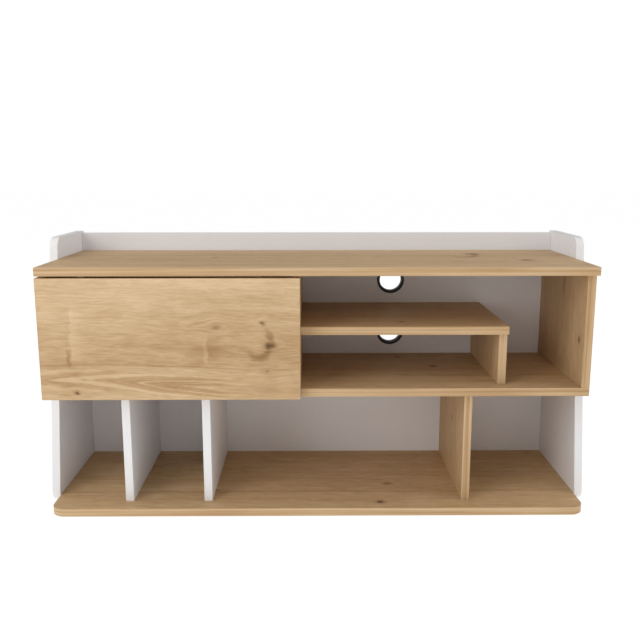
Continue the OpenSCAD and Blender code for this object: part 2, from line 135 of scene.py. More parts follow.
class Shader:
    """Builds one material's nodes round its Principled shader."""

    def __init__(self, name):
        self.material = bpy.data.materials.new(name)
        self.material.use_nodes = True
        self.tree = self.material.node_tree
        self.surface = self.tree.nodes["Principled BSDF"]

    def feed(self, socket, value):
        """Sets a socket to a number or colour, or links another node's output to it."""
        if isinstance(value, bpy.types.NodeSocket):
            self.tree.links.new(value, socket)
        else:
            socket.default_value = value

    def math(self, operation, *values):
        """One step of arithmetic on numbers."""
        node = self.tree.nodes.new("ShaderNodeMath")
        node.operation = operation
        for socket, value in zip(node.inputs, values):
            self.feed(socket, value)
        return node.outputs[0]

    def vector(self, operation, *values):
        """One step of arithmetic on vectors; a dot product or a length gives a number."""
        node = self.tree.nodes.new("ShaderNodeVectorMath")
        node.operation = operation
        for socket, value in zip(node.inputs, values):
            self.feed(socket, value)
        return node.outputs["Value"] if operation in ("DOT_PRODUCT", "LENGTH") else node.outputs[0]

    def place(self):
        """A board's own coordinates in metres: along the grain, across it, and the cut."""
        node = self.tree.nodes.new("ShaderNodeAttribute")
        node.attribute_name = GRAIN
        return node.outputs["Vector"]

    def rest_place(self):
        """The point on the piece itself, in metres, for pieces without grain coordinates."""
        return self.tree.nodes.new("ShaderNodeTexCoord").outputs["Object"]

    def split(self, vector):
        """The three numbers of a vector."""
        node = self.tree.nodes.new("ShaderNodeSeparateXYZ")
        self.feed(node.inputs[0], vector)
        return node.outputs

    def join(self, x, y, z):
        """A vector from three numbers."""
        node = self.tree.nodes.new("ShaderNodeCombineXYZ")
        for socket, value in zip(node.inputs, (x, y, z)):
            self.feed(socket, value)
        return node.outputs[0]

    def noise(self, at, scale=1.0, detail=2.0, distortion=0.0):
        """Smooth noise about 0.5."""
        node = self.tree.nodes.new("ShaderNodeTexNoise")
        self.feed(node.inputs["Vector"], at)
        node.inputs["Scale"].default_value = scale
        node.inputs["Detail"].default_value = detail
        node.inputs["Distortion"].default_value = distortion
        return node.outputs[0]

    def lines(self, along, across, cut, layer):
        """Noise in lines along the grain; layer is (scale along, scale across, detail)."""
        along_scale, across_scale, detail = layer
        at = self.join(
            self.math("MULTIPLY", along, along_scale),
            self.math("MULTIPLY", across, across_scale),
            cut,
        )
        return self.noise(at, detail=detail)

    def stretch(self, at, x, y, z=1.0):
        """A place with each coordinate scaled on its own."""
        return self.vector("MULTIPLY", at, (x, y, z))

    def swing(self, value, amount):
        """A 0 to 1 value turned into one that swings about zero, by amount each way."""
        return self.math("MULTIPLY_ADD", value, 2 * amount, -amount)

    def total(self, *values):
        """All the values added up."""
        result = values[0]
        for value in values[1:]:
            result = self.math("ADD", result, value)
        return result

    def ramp(self, value, stops):
        """Colours by value; stops is a list of (place, colour)."""
        node = self.tree.nodes.new("ShaderNodeValToRGB")
        self.feed(node.inputs[0], value)
        elements = node.color_ramp.elements
        while len(elements) < len(stops):
            elements.new(1.0)
        for element, (position, colour) in zip(elements, stops):
            element.position = position
            element.color = colour
        return node.outputs[0]

    def range(self, value, low, high, to_low=0.0, to_high=1.0):
        """Value moved from one range to another, smoothly, and held at its ends."""
        node = self.tree.nodes.new("ShaderNodeMapRange")
        node.interpolation_type = "SMOOTHSTEP"
        for socket, number in zip(node.inputs, (value, low, high, to_low, to_high)):
            self.feed(socket, number)
        return node.outputs[0]

    def mix(self, factor, first, second):
        """The first colour, turning into the second as factor goes from 0 to 1."""
        node = self.tree.nodes.new("ShaderNodeMix")
        node.data_type = "RGBA"
        self.feed(node.inputs["Factor"], factor)
        self.feed(node.inputs[6], first)
        self.feed(node.inputs[7], second)
        return node.outputs[2]

    def mix_value(self, factor, first, second):
        """The first number, turning into the second as factor goes from 0 to 1."""
        node = self.tree.nodes.new("ShaderNodeMix")
        self.feed(node.inputs["Factor"], factor)
        self.feed(node.inputs[2], first)
        self.feed(node.inputs[3], second)
        return node.outputs[0]

    def bump(self, height, distance):
        """Relief on the surface, distance metres for each unit of height."""
        node = self.tree.nodes.new("ShaderNodeBump")
        node.inputs["Strength"].default_value = 1.0
        node.inputs["Distance"].default_value = distance
        self.feed(node.inputs["Height"], height)
        self.feed(self.surface.inputs["Normal"], node.outputs[0])

    def finish(self, **inputs):
        """Sets the Principled shader's inputs, named with _ for a space."""
        for name, value in inputs.items():
            self.feed(self.surface.inputs[name.replace("_", " ")], value)
        return self.material


# ---- Oak decor ----

# Knots as (board, share along, share across, radius in metres, strength)
KNOTS = [
    ("door", 0.882, 0.452, 0.0072, 1.00),
    ("door", 0.852, 0.638, 0.0050, 0.75),
    ("door", 0.872, 0.243, 0.0042, 0.50),
    ("door", 0.138, 0.060, 0.0036, 0.95),
    ("door", 0.679, 0.600, 0.0075, 0.50),
    ("top_panel", 0.898, 0.368, 0.0105, 0.90),
    ("top_panel", 0.817, 0.724, 0.0120, 1.00),
    ("top_panel", 0.300, 0.520, 0.0080, 0.60),
    ("bottom_board", 0.618, 0.090, 0.0070, 1.00),
    ("bottom_board", 0.640, 0.380, 0.0090, 0.62),
    ("bottom_board", 0.300, 0.280, 0.0060, 0.60),
    ("box_bottom", 0.671, 0.860, 0.0080, 0.80),
    ("box_bottom", 0.737, 0.579, 0.0070, 0.80),
    ("raised_shelf", 0.496, 0.166, 0.0050, 0.80),
    ("box_right_side", 0.409, 0.100, 0.0060, 0.85),
    ("oak_divider", 0.600, 0.450, 0.0060, 0.70),
]
# Curved brown shades beside a knot as
# (board, share along, share across, half length and half width in metres)
EYES = [
    ("door", 0.838, 0.480, 0.027, 0.033),
    ("top_panel", 0.790, 0.650, 0.030, 0.040),
]
# Nested arches in the grain as
# (board, share along, share across, half length in metres, slope)
FIGURES = [
    ("door", 0.38, 0.150, 0.20, 0.06),
    ("top_panel", 0.30, 0.420, 0.35, 0.00),
    ("bottom_board", 0.42, 0.620, 0.30, 0.03),
    ("box_bottom", 0.66, 0.350, 0.24, 0.00),
    ("box_right_side", 0.50, 0.450, 0.16, 0.00),
]
# Lighter and darker streaks and painted light as (board, share across, half width in metres, tone)
STREAKS_AND_PAINTED_LIGHT = [
    # Painted light: the upper part of the door made lighter, as though lit from above
    ("door", 1.000, 0.150, 0.30),
    ("door", 0.315, 0.016, -0.16),
    ("door", 0.290, 0.003, -0.20),
    ("door", 0.020, 0.022, 0.12),
    ("top_panel", 0.030, 0.030, 0.20),
    ("top_panel", 0.640, 0.030, -0.15),
    ("bottom_board", 0.260, 0.010, -0.25),
    ("bottom_board", 0.900, 0.060, -0.15),
]
# Ends of staves in the decor as
# (board, share along, share across, half width and fading length in metres, tone);
# a length below zero fades to the left
STAVE_ENDS = [
    ("door", 0.645, 0.430, 0.038, 0.045, -0.24),
    ("door", 0.641, 0.410, 0.034, -0.009, 0.12),
    ("door", 0.630, 0.370, 0.028, -0.055, -0.12),
    ("door", 0.106, 0.350, 0.022, 0.012, -0.50),
    ("door", 0.122, 0.560, 0.080, 0.032, 0.18),
]
# How much longer than wide a knot is, and how many radii out the grain runs round it
KNOT_STRETCH = 1.35
KNOT_FLOW = 2.2
# Which way an eye's shade lies from its middle, and how wide its ring is in radii
EYE_SIDE = (0.75, -0.65, 0.0)
EYE_RING = 0.42
# Arches: length for each unit of width, half width, roundness of the tips, and
# the shares of the half length where they start and end fading
FIGURE_STRETCH = 6.0
FIGURE_REACH = 0.034
FIGURE_TIP = 0.0015
FIGURE_FADE_START, FIGURE_FADE_END = 0.7, 1.2
# Where a stave's shade sets in, about the stave's end, and its full width
STAVE_START, STAVE_FULL = -0.0015, 0.0025
STAVE_CORE = 0.4
# How far the grain wanders each way, in metres, as (scale along, scale across, reach)
SLOW_WANDER = (1.6, 5.0, 0.011)
QUICK_WANDER = (9.0, 30.0, 0.0030)
# Ragged outlines of knots and staves, along and across the grain: scales, and reach in metres
RAGGED_SCALES, RAGGED_REACH = (55.0, 70.0), 0.009
TORN_SCALES, TORN_REACH = (48.0, 110.0, 2.0), 0.005
# Short flecks: scales along and across the grain
FLECK_SCALES = (30.0, 95.0)
# Layers of lines as (scale along the grain, scale across it, noise detail)
BROAD_LINES = (1.1, 15.0, 2.0)
MIDDLE_LINES = (4.0, 80.0, 3.0)
FINE_LINES = (24.0, 500.0, 2.0)
ARCH_LINES = (2.0, 290.0, 1.0)
PORE_LINES = (45.0, 1500.0, 2.0)
BAND_STRIPES = (1.5, 240.0, 2.0)
BAND_PATCHES = (6.0, 40.0, 2.0)
BAND_HAIRS = (8.0, 1300.0, 2.0)
# The face's middle tone, and how far each layer moves it, from 0, dark, to 1, light
FACE_TONE = 0.47
BROAD_TONE = 0.28
MIDDLE_TONE = 0.25
FINE_TONE = 0.36
FLECK_TONE = 0.26
ARCH_DARK, ARCH_LIGHT = -0.26, 0.20
PORE_TONE = -0.14
# Parts of a knot as (darkness where it starts, darkness where it is full, strength)
HALO = (0.12, 0.60, 0.75)
HEART = (0.42, 0.85, 0.90)
OAK_GLOSS = 0.2

OAK_HEART = srgb(104, 76, 49)
OAK_BROWN = srgb(146, 111, 74)
OAK_LOW = srgb(166, 129, 88)
OAK_MID = srgb(197, 165, 124)
OAK_HIGH = srgb(223, 195, 157)
BAND_LOW = srgb(176, 139, 98)
BAND_MID = srgb(197, 164, 122)
BAND_HIGH = srgb(214, 185, 149)
SEAM_LOW = srgb(130, 100, 68)
SEAM_HIGH = srgb(164, 130, 92)


def offset_on_sheet(s, place, board, along, across):
    """How far a place on the decor sheet is from a point given as shares of a board."""
    u, v = OAK_BOARDS[board].sheet_point(along, across)
    return s.vector("SUBTRACT", place, (u, v, 0.0))


def grain_lines(s, place, wavy):
    """Returns the place across the grain, once it wanders and runs round knots, and the knots' darkness."""
    line = s.split(place)[1]
    for along_scale, across_scale, reach in (SLOW_WANDER, QUICK_WANDER):
        drift = s.noise(s.stretch(place, along_scale, across_scale), detail=1.0)
        line = s.math("ADD", line, s.swing(drift, reach))
    dark = 0.0
    for board, along, across, radius, strength in KNOTS:
        offset = s.stretch(offset_on_sheet(s, wavy, board, along, across), 1 / KNOT_STRETCH, 1.0, 0.0)
        square = s.vector("DOT_PRODUCT", offset, offset)
        nearness = s.math("DIVIDE", radius**2, s.math("ADD", square, radius**2))
        dark = s.math("MAXIMUM", dark, s.math("MULTIPLY", nearness, strength))
        flow_square = (radius * KNOT_FLOW) ** 2
        pushed = s.math("DIVIDE", flow_square, s.math("ADD", square, flow_square))
        line = s.math("SUBTRACT", line, s.math("MULTIPLY", s.split(offset)[1], pushed))
    return line, dark


def knot_part(s, knot, part):
    """How strong a part of the knots is, from how dark they are."""
    start, full, strength = part
    return s.range(knot, start, full, 0.0, strength)


def knot_eyes(s, place):
    """How strong the curved shade below and right of an eye is."""
    shade = 0.0
    for board, along, across, half_length, half_width in EYES:
        offset = offset_on_sheet(s, place, board, along, across)
        offset = s.stretch(offset, 1 / half_length, 1 / half_width, 0.0)
        ring = s.math("ABSOLUTE", s.math("SUBTRACT", s.vector("LENGTH", offset), 1.0))
        side = s.range(s.vector("DOT_PRODUCT", offset, EYE_SIDE), -0.5, 0.7)
        shade = s.math("MAXIMUM", shade, s.math("MULTIPLY", s.range(ring, EYE_RING, 0.0), side))
    return shade


def arched_lines(s, along, line):
    """Returns the place across the grain, once it runs in arches, and how strongly the arches show."""
    shown = 0.0
    for board, share_along, share_across, half, slope in FIGURES:
        middle_u, middle_v = OAK_BOARDS[board].sheet_point(share_along, share_across)
        offset = s.math("SUBTRACT", along, middle_u)
        length = s.math("ABSOLUTE", offset)
        held = s.math("DIVIDE", s.math("MULTIPLY", offset, half), s.math("ADD", length, half))
        tilted = s.math("MULTIPLY_ADD", held, slope, line)
        away = s.math("ABSOLUTE", s.math("SUBTRACT", tilted, middle_v))
        own_board = s.math("LESS_THAN", away, STRIP / 2)
        near = s.range(away, FIGURE_REACH, 0.0)
        lean = s.math("MULTIPLY", s.math("MULTIPLY", held, near), 1 / FIGURE_STRETCH)
        tip = s.math("SQRT", s.math("MULTIPLY_ADD", away, away, FIGURE_TIP**2))
        arch = s.math("ADD", s.math("SUBTRACT", tip, lean), middle_v)
        line = s.mix_value(own_board, line, arch)
        inside = s.range(length, half * FIGURE_FADE_END, half * FIGURE_FADE_START)
        shown = s.math("MAXIMUM", shown, s.math("MULTIPLY", near, inside))
    return line, shown


def streak_and_painted_light_tone(s, line):
    """Lighter and darker streaks that run along whole boards, and painted light along the top of the door.
    """
    tone = 0.0
    for board, across, half_width, amount in STREAKS_AND_PAINTED_LIGHT:
        _, v = OAK_BOARDS[board].sheet_point(0.0, across)
        away = s.math("ABSOLUTE", s.math("SUBTRACT", line, v))
        tone = s.math("ADD", tone, s.range(away, 0.0, half_width, amount, 0.0))
    return tone


def stave_tone(s, place):
    """Shades that start at the end of a stave and fade away from it."""
    tone = 0.0
    for board, along, across, half_width, length, amount in STAVE_ENDS:
        offset = s.split(offset_on_sheet(s, place, board, along, across))
        far = s.math("MULTIPLY", offset[0], math.copysign(1.0, length))
        starts = s.range(far, STAVE_START, STAVE_FULL)
        fades = s.range(far, 0.0, abs(length), amount, 0.0)
        window = s.range(s.math("ABSOLUTE", offset[1]), half_width, half_width * STAVE_CORE)
        tone = s.math("ADD", tone, s.math("MULTIPLY", s.math("MULTIPLY", starts, fades), window))
    return tone


def oak_face():
    """Printed oak decor: wandering grain, knots, arched figures and fine pores, and painted light along the
    top of the door.
    """
    s = Shader("oak_face")
    place = s.place()
    along, _, cut = s.split(place)
    ragged = s.swing(s.noise(s.stretch(place, *RAGGED_SCALES), detail=3.0), RAGGED_REACH)
    torn = s.swing(s.noise(s.stretch(place, *TORN_SCALES), detail=3.0), TORN_REACH)
    wavy = s.vector("ADD", place, s.join(ragged, torn, 0.0))
    run, knot = grain_lines(s, place, wavy)
    line, shown = arched_lines(s, along, run)
    layers = (BROAD_LINES, MIDDLE_LINES, FINE_LINES, ARCH_LINES, PORE_LINES)
    broad, middle, fine, arches, pores = [s.lines(along, line, cut, layer) for layer in layers]
    flecks = s.noise(s.stretch(place, *FLECK_SCALES), detail=3.0, distortion=0.8)
    pore_dark = s.range(pores, 0.60, 0.75)
    tone = s.total(
        FACE_TONE,
        s.swing(broad, BROAD_TONE),
        s.swing(middle, MIDDLE_TONE),
        s.swing(fine, FINE_TONE),
        s.math("MULTIPLY", s.range(arches, 0.36, 0.64, ARCH_DARK, ARCH_LIGHT), shown),
        s.swing(flecks, FLECK_TONE),
        # Includes painted light along the top of the door
        streak_and_painted_light_tone(s, run),
        stave_tone(s, wavy),
        s.math("MULTIPLY", pore_dark, PORE_TONE),
    )
    colour = s.ramp(tone, [(0.0, OAK_LOW), (0.5, OAK_MID), (1.0, OAK_HIGH)])
    eye = s.math("MULTIPLY", knot_eyes(s, wavy), s.range(fine, 0.3, 0.7, 1.0, 0.7))
    halo = s.math("MAXIMUM", knot_part(s, knot, HALO), eye)
    colour = s.mix(halo, colour, OAK_BROWN)
    colour = s.mix(knot_part(s, knot, HEART), colour, OAK_HEART)
    s.bump(s.total(s.swing(fine, 0.5), s.math("MULTIPLY", pore_dark, -0.8)), 0.06 * MM)
    return s.finish(
        Base_Color=colour,
        Roughness=s.total(0.50, s.swing(middle, 0.06), s.math("MULTIPLY", pore_dark, 0.08)),
        Specular_IOR_Level=OAK_GLOSS,
    )


def oak_band():
    """Edge band: stripes that run along the edge."""
    s = Shader("oak_band")
    along, across, cut = s.split(s.place())
    layers = (BAND_STRIPES, BAND_PATCHES, BAND_HAIRS)
    stripes, patches, hairs = [s.lines(along, across, cut, layer) for layer in layers]
    tone = s.total(0.52, s.swing(stripes, 1.1), s.swing(patches, 0.4), s.swing(hairs, 0.3))
    s.bump(s.swing(hairs, 0.5), 0.04 * MM)
    return s.finish(
        Base_Color=s.ramp(tone, [(0.0, BAND_LOW), (0.5, BAND_MID), (1.0, BAND_HIGH)]),
        Roughness=s.total(0.46, s.swing(stripes, 0.05)),
        Specular_IOR_Level=OAK_GLOSS,
    )


def oak_seam():
    """Fine glue line where the edge band meets the face."""
    s = Shader("oak_seam")
    wear = s.noise(s.stretch(s.place(), 30.0, 30.0), detail=3.0)
    colour = s.ramp(wear, [(0.3, SEAM_LOW), (0.7, SEAM_HIGH)])
    return s.finish(Base_Color=colour, Roughness=s.range(wear, 0.2, 0.8, 0.5, 0.62))


# ---- White melamine ----

WHITE_GLOSS = 0.3


def white_melamine(name, light, dark, roughness):
    """Faintly textured white surface."""
    s = Shader(name)
    place = s.place()
    cloud = s.noise(s.stretch(place, 6.0, 6.0), detail=3.0)
    peel = s.noise(s.stretch(place, 700.0, 700.0), detail=2.0)
    tone = s.total(s.math("MULTIPLY", cloud, 0.8), s.math("MULTIPLY", peel, 0.2))
    colour = s.ramp(tone, [(0.25, dark), (0.75, light)])
    s.bump(peel, 0.04 * MM)
    return s.finish(
        Base_Color=colour,
        Roughness=s.total(roughness, s.swing(cloud, 0.05)),
        Specular_IOR_Level=WHITE_GLOSS,
    )


# ---- Hardware materials ----

# Light and dark linear colours
NICKEL = (0.72, 0.71, 0.69, 1.0), (0.58, 0.57, 0.55, 1.0)
ZINC = (0.60, 0.60, 0.61, 1.0), (0.47, 0.47, 0.48, 1.0)
BLACK_PLASTIC = (0.018, 0.018, 0.019, 1.0), (0.009, 0.009, 0.010, 1.0)
NYLON = (0.80, 0.80, 0.77, 1.0), (0.72, 0.72, 0.69, 1.0)
SOFT_PAD = (0.66, 0.66, 0.64, 1.0), (0.58, 0.58, 0.56, 1.0)
OAK_CAP = srgb(208, 172, 126), srgb(190, 152, 106)


def metal(name, light, dark, roughness, stretch, bump):
    """Plated or cast metal; stretch makes its marks long for a brushed look."""
    s = Shader(name)
    place = s.rest_place()
    marks = s.noise(s.stretch(place, *stretch), detail=4.0)
    cloud = s.noise(place, scale=90.0, detail=2.0)
    tone = s.total(s.math("MULTIPLY", marks, 0.6), s.math("MULTIPLY", cloud, 0.4))
    colour = s.ramp(tone, [(0.3, dark), (0.7, light)])
    s.bump(marks, bump)
    return s.finish(Base_Color=colour, Metallic=1.0, Roughness=s.total(roughness, s.swing(tone, 0.10)))


def plastic(name, light, dark, roughness, grain_scale, bump):
    """Moulded plastic or rubber with a fine spark-eroded texture."""
    s = Shader(name)
    place = s.rest_place()
    texture = s.noise(place, scale=grain_scale, detail=2.0)
    cloud = s.noise(place, scale=40.0, detail=2.0)
    tone = s.total(s.math("MULTIPLY", texture, 0.5), s.math("MULTIPLY", cloud, 0.5))
    colour = s.ramp(tone, [(0.3, dark), (0.7, light)])
    s.bump(texture, bump)
    return s.finish(Base_Color=colour, Roughness=s.total(roughness, s.swing(cloud, 0.06)))


def beech():
    """Raw beech dowel: straight grain with short dark flecks."""
    s = Shader("beech")
    place = s.rest_place()
    grain = s.noise(s.stretch(place, 500.0, 500.0, 30.0), detail=3.0)
    flecks = s.noise(s.stretch(place, 900.0, 900.0, 120.0), detail=1.0)
    tone = s.math("SUBTRACT", grain, s.range(flecks, 0.62, 0.7, 0.0, 0.3))
    colour = s.ramp(tone, [(0.2, srgb(176, 134, 92)), (0.8, srgb(224, 192, 148))])
    s.bump(grain, 0.1 * MM)
    return s.finish(Base_Color=colour, Roughness=s.range(grain, 0.0, 1.0, 0.6, 0.75))


MATERIALS = {
    "oak_face": oak_face(),
    "oak_band": oak_band(),
    "oak_seam": oak_seam(),
    "white_face": white_melamine("white_face", srgb(240, 240, 243), srgb(236, 236, 239), roughness=0.42),
    "white_band": white_melamine("white_band", srgb(240, 239, 239), srgb(236, 235, 235), roughness=0.38),
    "white_seam": white_melamine("white_seam", srgb(214, 212, 210), srgb(206, 204, 202), roughness=0.50),
    "nickel": metal("nickel", *NICKEL, roughness=0.30, stretch=(60, 900, 900), bump=0.03 * MM),
    "zinc": metal("zinc", *ZINC, roughness=0.42, stretch=(700, 700, 700), bump=0.05 * MM),
    "black_plastic": plastic(
        "black_plastic", *BLACK_PLASTIC, roughness=0.42, grain_scale=2200, bump=0.04 * MM
    ),
    "nylon": plastic("nylon", *NYLON, roughness=0.45, grain_scale=1800, bump=0.03 * MM),
    "soft_pad": plastic("soft_pad", *SOFT_PAD, roughness=0.25, grain_scale=900, bump=0.02 * MM),
    "oak_cap": plastic("oak_cap", *OAK_CAP, roughness=0.50, grain_scale=1200, bump=0.04 * MM),
    "beech": beech(),
}

# ---- Board pieces ----

# Radius and segments of a board's eased edges
EASE = 0.8 * MM
EASE_STEPS = 4
# Faces that meet at more than this angle make a sharp edge; less than FLAT and they are one face
SHARP = math.radians(30)
FLAT = math.radians(0.5)
# A face whose normal has a part above this looks along an axis
SQUARE_ON = 0.99999
# Area in square metres from which a face is shaded flat, and total length from which touching
# sharp edges are a board's outline and not the rim of a screw hole
WIDE = 150 * MM * MM
LONG_RIM = 500 * MM
# Parts of a board's surface, in the order of its material slots
BOARD_PARTS = ("face", "seam", "band")
# Least part of the normal along the board's thickness for the decor, for the seam, and for the
# coordinates of a face
FACE_FROM, SEAM_FROM, LAID_FROM = 0.99, 0.9, 0.7
# Where faces, end bands and long bands cut through the noise, for each strip of the sheet,
# and how much further on a board's second face does
FACE_CUT, END_CUT, LONG_CUT = 3.7, 5.1, 7.3
SECOND_FACE = 0.5


def edge_groups(edges):
    """The edges, gathered into groups that touch, in the order of each group's first edge."""
    left = set(edges)
    groups = []
    for first in edges:
        if first not in left:
            continue
        left.remove(first)
        waiting = [first]
        group = []
        while waiting:
            edge = waiting.pop()
            group.append(edge)
            for corner in edge.verts:
                for other in corner.link_edges:
                    if other in left:
                        left.remove(other)
                        waiting.append(other)
        groups.append(group)
    return groups


def outline_edges(mesh):
    """The sharp edges of a board's own outline, without the rims of its screw holes."""
    sharp = [e for e in mesh.edges if e.is_manifold and e.calc_face_angle() > SHARP]
    long_groups = [g for g in edge_groups(sharp) if sum(e.calc_length() for e in g) > LONG_RIM]
    return [edge for group in long_groups for edge in group]


def write_grain(mesh, board):
    """Stores each corner's place on the decor sheet, and picks face, seam or band by direction."""
    layer = mesh.loops.layers.float_vector.new(GRAIN)
    for face in mesh.faces:
        normal = [abs(x) for x in face.normal]
        if normal[board.thick] > LAID_FROM:
            along, across = board.grain, board.across
            cut = board.strip * FACE_CUT + (SECOND_FACE if face.normal[board.thick] > 0 else 0.0)
        elif normal[board.grain] > normal[board.across]:
            along, across = board.across, board.thick
            cut = board.strip * END_CUT
        else:
            along, across = board.grain, board.thick
            cut = board.strip * LONG_CUT
        if normal[board.thick] > FACE_FROM:
            part = "face"
        elif normal[board.thick] > SEAM_FROM:
            part = "seam"
        else:
            part = "band"
        face.material_index = BOARD_PARTS.index(part)
        for corner in face.loops:
            point = corner.vert.co
            u = point[along] - board.low[along]
            v = point[across] - board.low[across] + board.strip
            corner[layer] = (u, v, cut)


def mark_sharp(mesh):
    """Marks each edge as smooth or sharp by the angle between its faces."""
    for edge in mesh.edges:
        edge.smooth = edge.is_manifold and edge.calc_face_angle() < SHARP


def finished_piece(name, node, mesh, materials):
    """Turns a finished bmesh into the named piece, which replaces a CAD node."""
    data = bpy.data.meshes.new(name)
    mesh.to_mesh(data)
    mesh.free()
    for material in materials:
        data.materials.append(MATERIALS[material])
    piece = bpy.data.objects.new(name, data)
    bpy.context.scene.collection.objects.link(piece)
    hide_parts(node)
    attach(piece, body_of_node[node])


def board_piece(board, finish):
    """A board with eased edges and its decor, made from its CAD solid, which it replaces."""
    mesh = bmesh.new()
    mesh.from_mesh(nodes[board.node].data)
    bmesh.ops.remove_doubles(mesh, verts=mesh.verts, dist=WELD)
    bmesh.ops.dissolve_limit(mesh, angle_limit=FLAT, verts=mesh.verts, edges=mesh.edges)
    eased = bmesh.ops.bevel(
        mesh,
        geom=outline_edges(mesh),
        offset=EASE,
        segments=EASE_STEPS,
        profile=0.5,
        affect="EDGES",
        clamp_overlap=True,
    )
    mesh.normal_update()
    write_grain(mesh, board)
    rounded = set(eased["faces"])
    for face in mesh.faces:
        square_on = max(abs(x) for x in face.normal) > SQUARE_ON
        face.smooth = face in rounded or not (square_on or face.calc_area() > WIDE)
    mark_sharp(mesh)
    finished_piece(board.node + "_board", board.node, mesh, [finish + "_" + part for part in BOARD_PARTS])


for board in OAK_BOARDS.values():
    board_piece(board, "oak")
for board in WHITE_BOARDS.values():
    board_piece(board, "white")

# ---- Small hardware, turned on a lathe from profiles ----

TURN_STEPS = 48
STEP_ANGLES = [2 * math.pi * i / TURN_STEPS for i in range(TURN_STEPS)]
TURN = [(math.cos(angle), math.sin(angle)) for angle in STEP_ANGLES]


def loose_parts(node):
    """Lowest and highest corner of each separate part of a CAD node, in a steady order."""
    mesh = bmesh.new()
    mesh.from_mesh(nodes[node].data)
    bmesh.ops.remove_doubles(mesh, verts=mesh.verts, dist=WELD)
    boxes = []
    for group in edge_groups(mesh.edges):
        points = [corner.co for edge in group for corner in edge.verts]
        low = Vector([min(p[axis] for p in points) for axis in range(3)])
        high = Vector([max(p[axis] for p in points) for axis in range(3)])
        boxes.append((low, high))
    mesh.free()
    return sorted(boxes, key=lambda box: tuple(round(value, 5) for value in box[0]))


def end_of_part(box, direction):
    """Middle of a part's face that looks along direction, and the part's radius round it."""
    low, high = box
    axis = max(range(3), key=lambda i: abs(direction[i]))
    place = (low + high) / 2
    place[axis] = high[axis] if direction[axis] > 0 else low[axis]
    radius = (high[(axis + 1) % 3] - low[(axis + 1) % 3]) / 2
    return place, radius


def facing(place, direction):
    """Puts the origin at place and turns local Z towards direction."""
    turn = Vector(direction).to_track_quat("Z", "Y").to_matrix().to_4x4()
    return Matrix.Translation(place) @ turn


def turned(mesh, profile, matrix, closed=False):
    """Adds a shape turned from (radius, height) points in mm. Returns its rings of vertices."""
    rings = []
    for radius, height in profile:
        if radius == 0:
            tip = mesh.verts.new(matrix @ Vector((0, 0, height * MM)))
            rings.append([tip] * TURN_STEPS)
        else:
            points = [matrix @ Vector((radius * c * MM, radius * s * MM, height * MM)) for c, s in TURN]
            rings.append([mesh.verts.new(point) for point in points])
    following = rings[1:] + rings[:1] if closed else rings[1:]
    for lower, upper in zip(rings, following):
        for i in range(TURN_STEPS):
            j = (i + 1) % TURN_STEPS
            corners = dict.fromkeys((lower[i], lower[j], upper[j], upper[i]))
            mesh.faces.new(list(corners))
    return rings


def hardware_piece(node, mesh):
    """A finished bmesh as the piece that replaces a CAD node."""
    bmesh.ops.recalc_face_normals(mesh, faces=mesh.faces)
    for face in mesh.faces:
        face.smooth = True
    mark_sharp(mesh)
    finished_piece(node + "_detail", node, mesh, [slot_of_node[node]])


# Small screws in mm: head, shank, and the recess, whose floor is smaller than its mouth
SCREW_HEAD_R, SCREW_HEAD_H = 3.45, 1.6
SCREW_SHANK_R, SCREW_LENGTH = 1.45, 12.9
CROSS_REACH, CROSS_HALF, CROSS_DEPTH = 1.9, 0.42, 1.1
CROSS_FLOOR = 0.6
HEAD_FACE = -0.02


def cross_outline(scale):
    """Corners of a screw's cross recess, in turn."""
    reach, half = CROSS_REACH * scale, CROSS_HALF * scale
    corner = [(reach, -half), (reach, half), (half, half)]
    outline = []
    for quarter in range(4):
        c, s = round(math.cos(quarter * math.pi / 2)), round(math.sin(quarter * math.pi / 2))
        outline += [(x * c - y * s, x * s + y * c) for x, y in corner]
    return outline


def cross_screw(mesh, matrix):
    """Adds a screw with a cross recess; local Z points out of its head, which ends just under 0."""
    profile = [
        (0, -SCREW_LENGTH),
        (SCREW_SHANK_R * 0.5, -SCREW_LENGTH + 0.8),
        (SCREW_SHANK_R, -SCREW_LENGTH + 2.6),
        (SCREW_SHANK_R, -SCREW_HEAD_H),
        (SCREW_HEAD_R, -SCREW_HEAD_H + 0.1),
        (SCREW_HEAD_R, -0.5),
        (SCREW_HEAD_R - 0.15, -0.15),
        (SCREW_HEAD_R - 0.5, HEAD_FACE),
    ]

    def cross(scale, height):
        points = [Vector((x * MM, y * MM, height * MM)) for x, y in cross_outline(scale)]
        return [mesh.verts.new(matrix @ point) for point in points]

    rim = turned(mesh, profile, matrix)[-1]
    mouth = cross(1.0, HEAD_FACE)
    floor = cross(CROSS_FLOOR, -CROSS_DEPTH)
    for i in range(len(mouth)):
        j = (i + 1) % len(mouth)
        mesh.faces.new((mouth[i], mouth[j], floor[j], floor[i]))
    mesh.faces.new(floor)
    loops = []
    for loop in (rim, mouth):
        loops += [mesh.edges.get((loop[i - 1], loop[i])) for i in range(len(loop))]
    bmesh.ops.triangle_fill(mesh, use_beauty=True, edges=loops)


def cross_screws(node, outward):
    """Replaces each screw of a node by one with a cross recess in its head."""
    mesh = bmesh.new()
    for box in loose_parts(node):
        place, _ = end_of_part(box, outward)
        cross_screw(mesh, facing(place, outward))
    hardware_piece(node, mesh)


def turned_parts(node, outward, profile_of):
    """Replaces each part of a node by the shape turned from profile_of(radius, length), in mm."""
    mesh = bmesh.new()
    axis = max(range(3), key=lambda i: abs(outward[i]))
    for box in loose_parts(node):
        place, radius = end_of_part(box, outward)
        length = box[1][axis] - box[0][axis]
        turned(mesh, profile_of(radius / MM, length / MM), facing(place, outward))
    hardware_piece(node, mesh)


DOME_ANGLES = (0.0, 0.3, 0.6, 0.9, 1.2, math.pi / 2)
# Share of a bumper's length that its dome takes up
DOME_SHARE = 0.45


def bumper_profile(radius, length):
    """Soft dome on a short straight wall."""
    rise = DOME_SHARE * length
    dome = [(radius * math.sin(angle), -rise * (1 - math.cos(angle))) for angle in DOME_ANGLES]
    return dome + [(radius, -length), (0, -length)]


